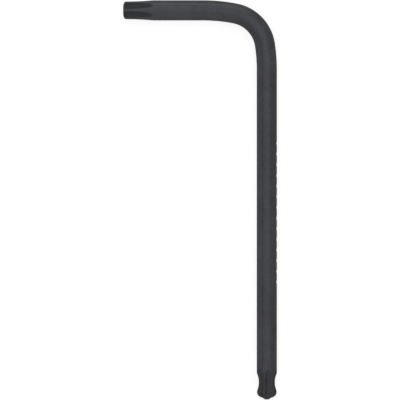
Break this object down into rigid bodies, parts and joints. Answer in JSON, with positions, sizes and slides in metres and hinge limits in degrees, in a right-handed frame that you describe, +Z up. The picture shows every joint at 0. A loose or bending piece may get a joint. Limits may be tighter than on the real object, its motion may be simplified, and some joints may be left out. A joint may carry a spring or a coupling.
{
  "type": "star key",
  "caption": "L-shaped key bent from round steel bar, with a straight star drive on the short arm and a ball star drive on the long arm, for turning star-socket screws.",
  "frame": {"origin": "under the middle of the whole key, on the surface that it lies on", "axes": "+Z up from the surface, +Y along the long arm from the ball to the bend, and the short arm's star end at -X"},
  "size_m": [0.0684, 0.1778, 0.009],
  "materials": {
    "phosphated_steel": "dark grey phosphate with a soft sheen, darker and duller in the flutes"
  },
  "bodies": {
    "root": {"star_tip": "phosphated_steel", "short_arm": "phosphated_steel", "short_lead": "phosphated_steel", "bend": "phosphated_steel", "long_lead": "phosphated_steel", "long_arm": "phosphated_steel", "ball_tip": "phosphated_steel"}
  },
  "joints": []
}
